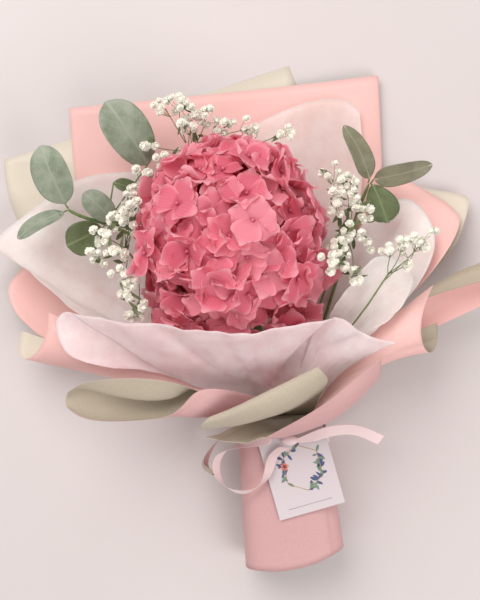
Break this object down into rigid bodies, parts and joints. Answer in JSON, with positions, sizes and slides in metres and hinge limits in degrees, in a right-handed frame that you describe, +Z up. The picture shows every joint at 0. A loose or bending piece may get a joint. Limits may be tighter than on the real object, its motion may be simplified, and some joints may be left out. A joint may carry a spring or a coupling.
{
  "type": "wrapped hydrangea bouquet",
  "caption": "Hand-tied hydrangea bouquet with eucalyptus and baby's breath in two-tone paper and white tissue, ribbon and card at the handle, lying on its back.",
  "frame": {"origin": "on the table under the middle of the bouquet's box", "axes": "+Y from the handle towards the flowers, +X to the bouquet's right, +Z up off the table"},
  "size_m": [0.4682, 0.463, 0.1762],
  "materials": {
    "pink_paper": "matte, two-tone waterproof wrapping paper, pink side out",
    "cream_paper": "matte, grey-cream side of the two-tone wrapping paper",
    "white_tissue": "non-woven tissue, translucent white",
    "hydrangea_sepal": "fresh petal, rich pink",
    "green_stem": "smooth green stem",
    "eucalyptus_leaf": "waxy grey-green leaf",
    "gypsophila": "tiny off-white blossoms on thin green stems",
    "ribbon": "pale pink satin ribbon",
    "card": "white printed card"
  },
  "bodies": {
    "root": {"back_sheet_cream": "cream_paper", "back_sheet_pink": "pink_paper", "eucalyptus_leaf_01": "eucalyptus_leaf", "eucalyptus_leaf_02": "eucalyptus_leaf", "eucalyptus_leaf_03": "eucalyptus_leaf", "eucalyptus_leaf_04": "eucalyptus_leaf", "eucalyptus_leaf_05": "eucalyptus_leaf", "eucalyptus_leaf_06": "eucalyptus_leaf", "eucalyptus_leaf_07": "eucalyptus_leaf", "eucalyptus_leaf_08": "eucalyptus_leaf", "eucalyptus_leaf_09": "eucalyptus_leaf", "eucalyptus_stem_left": "green_stem", "eucalyptus_stem_right": "green_stem", "front_band": "pink_paper", "front_collar_sage": "cream_paper", "front_collar_under": "cream_paper", "front_left_collar": "pink_paper", "gift_card": "card", "gypsophila_far_right": "gypsophila", "gypsophila_left": "gypsophila", "gypsophila_right": "gypsophila", "gypsophila_top": "gypsophila", "handle_sleeve": "pink_paper", "hydrangea_core": "hydrangea_sepal", "hydrangea_floret_01": "hydrangea_sepal", "hydrangea_floret_02": "hydrangea_sepal", "hydrangea_floret_03": "hydrangea_sepal", "hydrangea_floret_04": "hydrangea_sepal", "hydrangea_floret_05": "hydrangea_sepal", "hydrangea_floret_06": "hydrangea_sepal", "hydrangea_floret_07": "hydrangea_sepal", "hydrangea_floret_08": "hydrangea_sepal", "hydrangea_floret_09": "hydrangea_sepal", "hydrangea_floret_10": "hydrangea_sepal", "hydrangea_floret_11": "hydrangea_sepal", "hydrangea_floret_12": "hydrangea_sepal", "hydrangea_floret_13": "hydrangea_sepal", "hydrangea_floret_14": "hydrangea_sepal", "hydrangea_floret_15": "hydrangea_sepal", "hydrangea_floret_16": "hydrangea_sepal", "hydrangea_floret_17": "hydrangea_sepal", "hydrangea_floret_18": "hydrangea_sepal", "hydrangea_stem": "green_stem", "left_sheet_front": "pink_paper", "left_sheet_rear": "pink_paper", "paper_tail": "pink_paper", "ribbon_band": "ribbon", "ribbon_knot": "ribbon", "ribbon_loop": "ribbon", "ribbon_tail": "ribbon", "right_curl": "pink_paper", "right_sheet_cream": "cream_paper", "right_sheet_high": "pink_paper", "right_sheet_low": "pink_paper", "tissue_back": "white_tissue", "tissue_front": "white_tissue", "tissue_front_curl": "white_tissue", "tissue_left": "white_tissue", "tissue_right_inner": "white_tissue", "tissue_right_outer": "white_tissue"}
  },
  "joints": []
}
